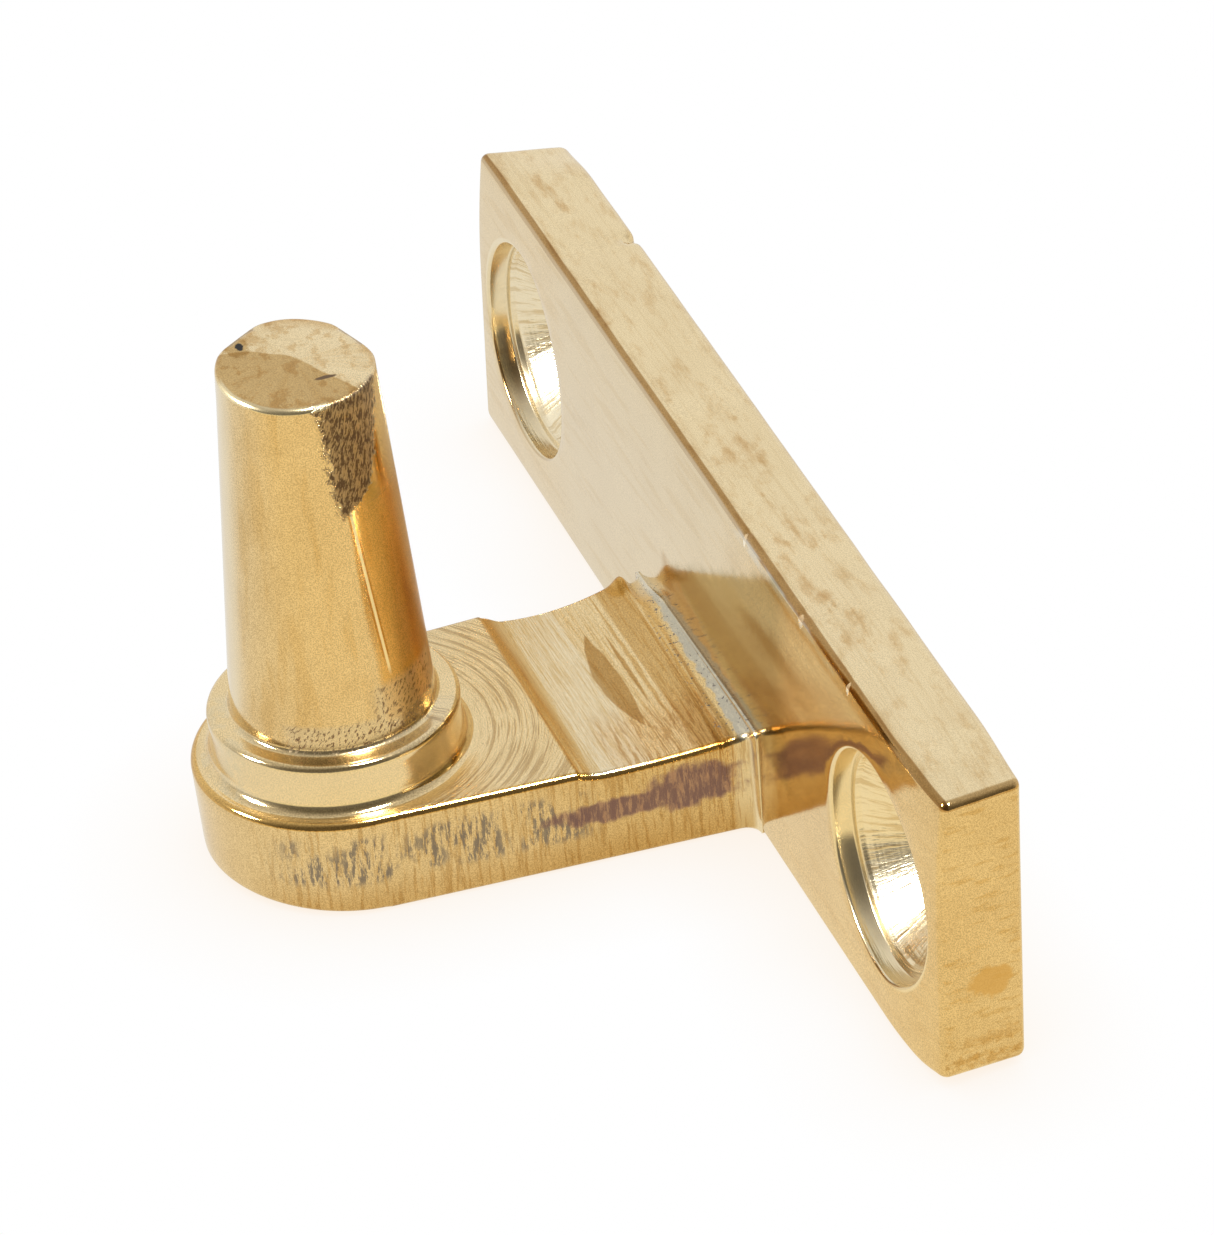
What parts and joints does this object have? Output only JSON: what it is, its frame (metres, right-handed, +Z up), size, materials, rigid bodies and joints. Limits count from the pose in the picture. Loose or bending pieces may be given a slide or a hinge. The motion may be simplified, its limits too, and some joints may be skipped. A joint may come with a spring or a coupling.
{
  "type": "casement stay pin",
  "caption": "Brass casement stay pin: fixing plate with countersunk screw holes, short arm and an upright tapered pin on a collar.",
  "frame": {"origin": "the centre of the fixing plate's back face, which lies against the window frame", "axes": "+X along the plate, +Y out of the plate's back towards the window frame, +Z up along the pin"},
  "size_m": [0.05, 0.0236, 0.0209],
  "materials": {
    "plate_brass": "polished, unlacquered",
    "arm_brass": "polished over linishing marks, lightly tarnished sides",
    "pin_brass": "turned and polished"
  },
  "bodies": {
    "root": {"fixing_plate": "plate_brass", "arm": "arm_brass", "stay_pin": "pin_brass"}
  },
  "joints": []
}
